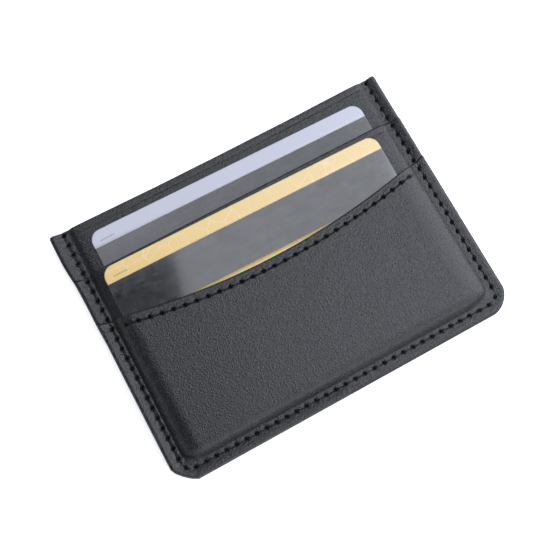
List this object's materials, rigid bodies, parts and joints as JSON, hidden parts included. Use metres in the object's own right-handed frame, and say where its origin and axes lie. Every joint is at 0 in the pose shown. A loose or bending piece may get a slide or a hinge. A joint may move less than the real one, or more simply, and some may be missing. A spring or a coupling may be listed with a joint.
{
  "type": "card holder",
  "caption": "Flat leather card holder with front and rear slots, curved stitched pockets, a centre pocket, and two bank cards that slide out.",
  "frame": {"origin": "under the middle of the holder's bounding box, on the surface that the rear lies on", "axes": "+X along the width, +Y towards the pocket mouths and the top edge, +Z out of the front face"},
  "size_m": [0.103, 0.0774, 0.0083],
  "materials": {
    "leather": "smooth semi-matt black leather with a fine grain",
    "lining": "plain-woven black lining",
    "thread": "waxed black thread",
    "silver_card": "satin pearl silver",
    "gold_card": "satin pearl gold",
    "stripe": "glossy dark magnetic tape",
    "signature": "matt writable panel",
    "contact": "polished contact plate"
  },
  "bodies": {
    "holder": {"front_body_lining": "lining", "front_body_panel": "leather", "front_slot_lining": "lining", "front_slot_panel": "leather", "front_pocket_lining": "lining", "front_pocket": "leather", "rear_body_lining": "lining", "rear_body_panel": "leather", "rear_slot_lining": "lining", "rear_slot_panel": "leather", "rear_pocket_lining": "lining", "rear_pocket": "leather", "edge_seam_front_thread": "thread", "edge_seam_rear_thread": "thread", "front_mouth_needle_thread": "thread", "front_mouth_bobbin_thread": "thread", "rear_mouth_needle_thread": "thread", "rear_mouth_bobbin_thread": "thread", "front_stop_needle_thread": "thread", "front_stop_bobbin_thread": "thread", "rear_stop_needle_thread": "thread", "rear_stop_bobbin_thread": "thread"},
    "silver_bank_card": {"silver_card": "silver_card", "silver_card_stripe": "stripe", "silver_card_signature": "signature", "silver_card_chip": "contact"},
    "gold_bank_card": {"gold_card": "gold_card", "gold_card_stripe": "stripe", "gold_card_signature": "signature", "gold_card_chip": "contact"}
  },
  "joints": [
    {"name": "silver_card_slide", "type": "slide", "parent": "holder", "child": "silver_bank_card", "axis": [0, 1, 0], "range_m": [0, 0.06]},
    {"name": "gold_card_slide", "type": "slide", "parent": "holder", "child": "gold_bank_card", "axis": [0, 1, 0], "range_m": [0, 0.071]}
  ]
}
